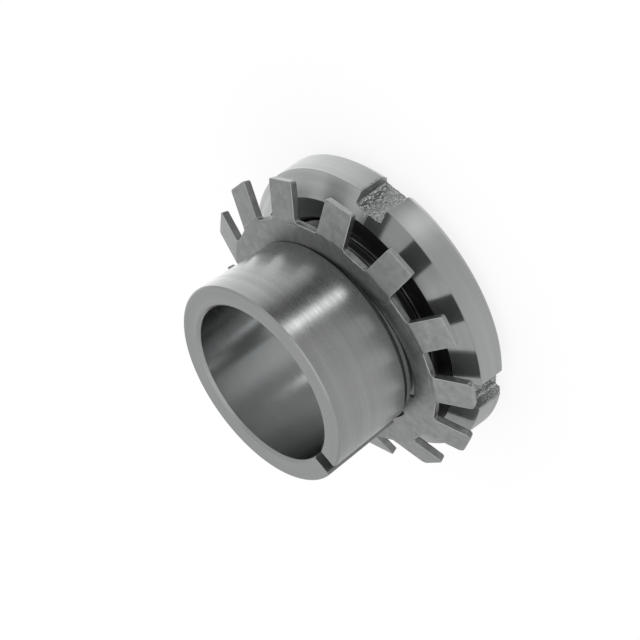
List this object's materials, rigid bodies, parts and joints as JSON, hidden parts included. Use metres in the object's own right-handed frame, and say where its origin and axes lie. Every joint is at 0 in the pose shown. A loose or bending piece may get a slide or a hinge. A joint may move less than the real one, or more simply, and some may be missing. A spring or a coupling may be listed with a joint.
{
  "type": "bearing adapter sleeve",
  "caption": "Slit tapered steel sleeve with a lock nut and a tabbed lock washer, which clamps a taper-bored bearing on a plain shaft.",
  "frame": {"origin": "on the bore's axis, in the plane of the threaded end that the sleeve stands on", "axes": "+Z along the bore towards the large end, slit towards -X"},
  "size_m": [0.0488, 0.0489, 0.027],
  "materials": {
    "sleeve_steel": "satin, fine turned",
    "washer_steel": "matt, tumbled after stamping",
    "nut_steel": "satin, turned, slots milled"
  },
  "bodies": {
    "sleeve": {"adapter_sleeve": "sleeve_steel"},
    "washer": {"lock_washer": "washer_steel"},
    "nut": {"lock_nut": "nut_steel"}
  },
  "joints": [
    {"name": "washer_slide", "type": "slide", "parent": "sleeve", "child": "washer", "axis": [0, 0, 1], "range_m": [-0.0011, 0]},
    {"name": "nut_turn", "type": "hinge", "parent": "washer", "child": "nut", "pos_m": [0, 0, 0.0046], "axis": [0, 0, 1], "range_deg": [-264, 0]}
  ],
  "couplings": [
    {"joint": "nut_turn", "follows": "washer_slide", "rad_per_m": 4188.8}
  ]
}
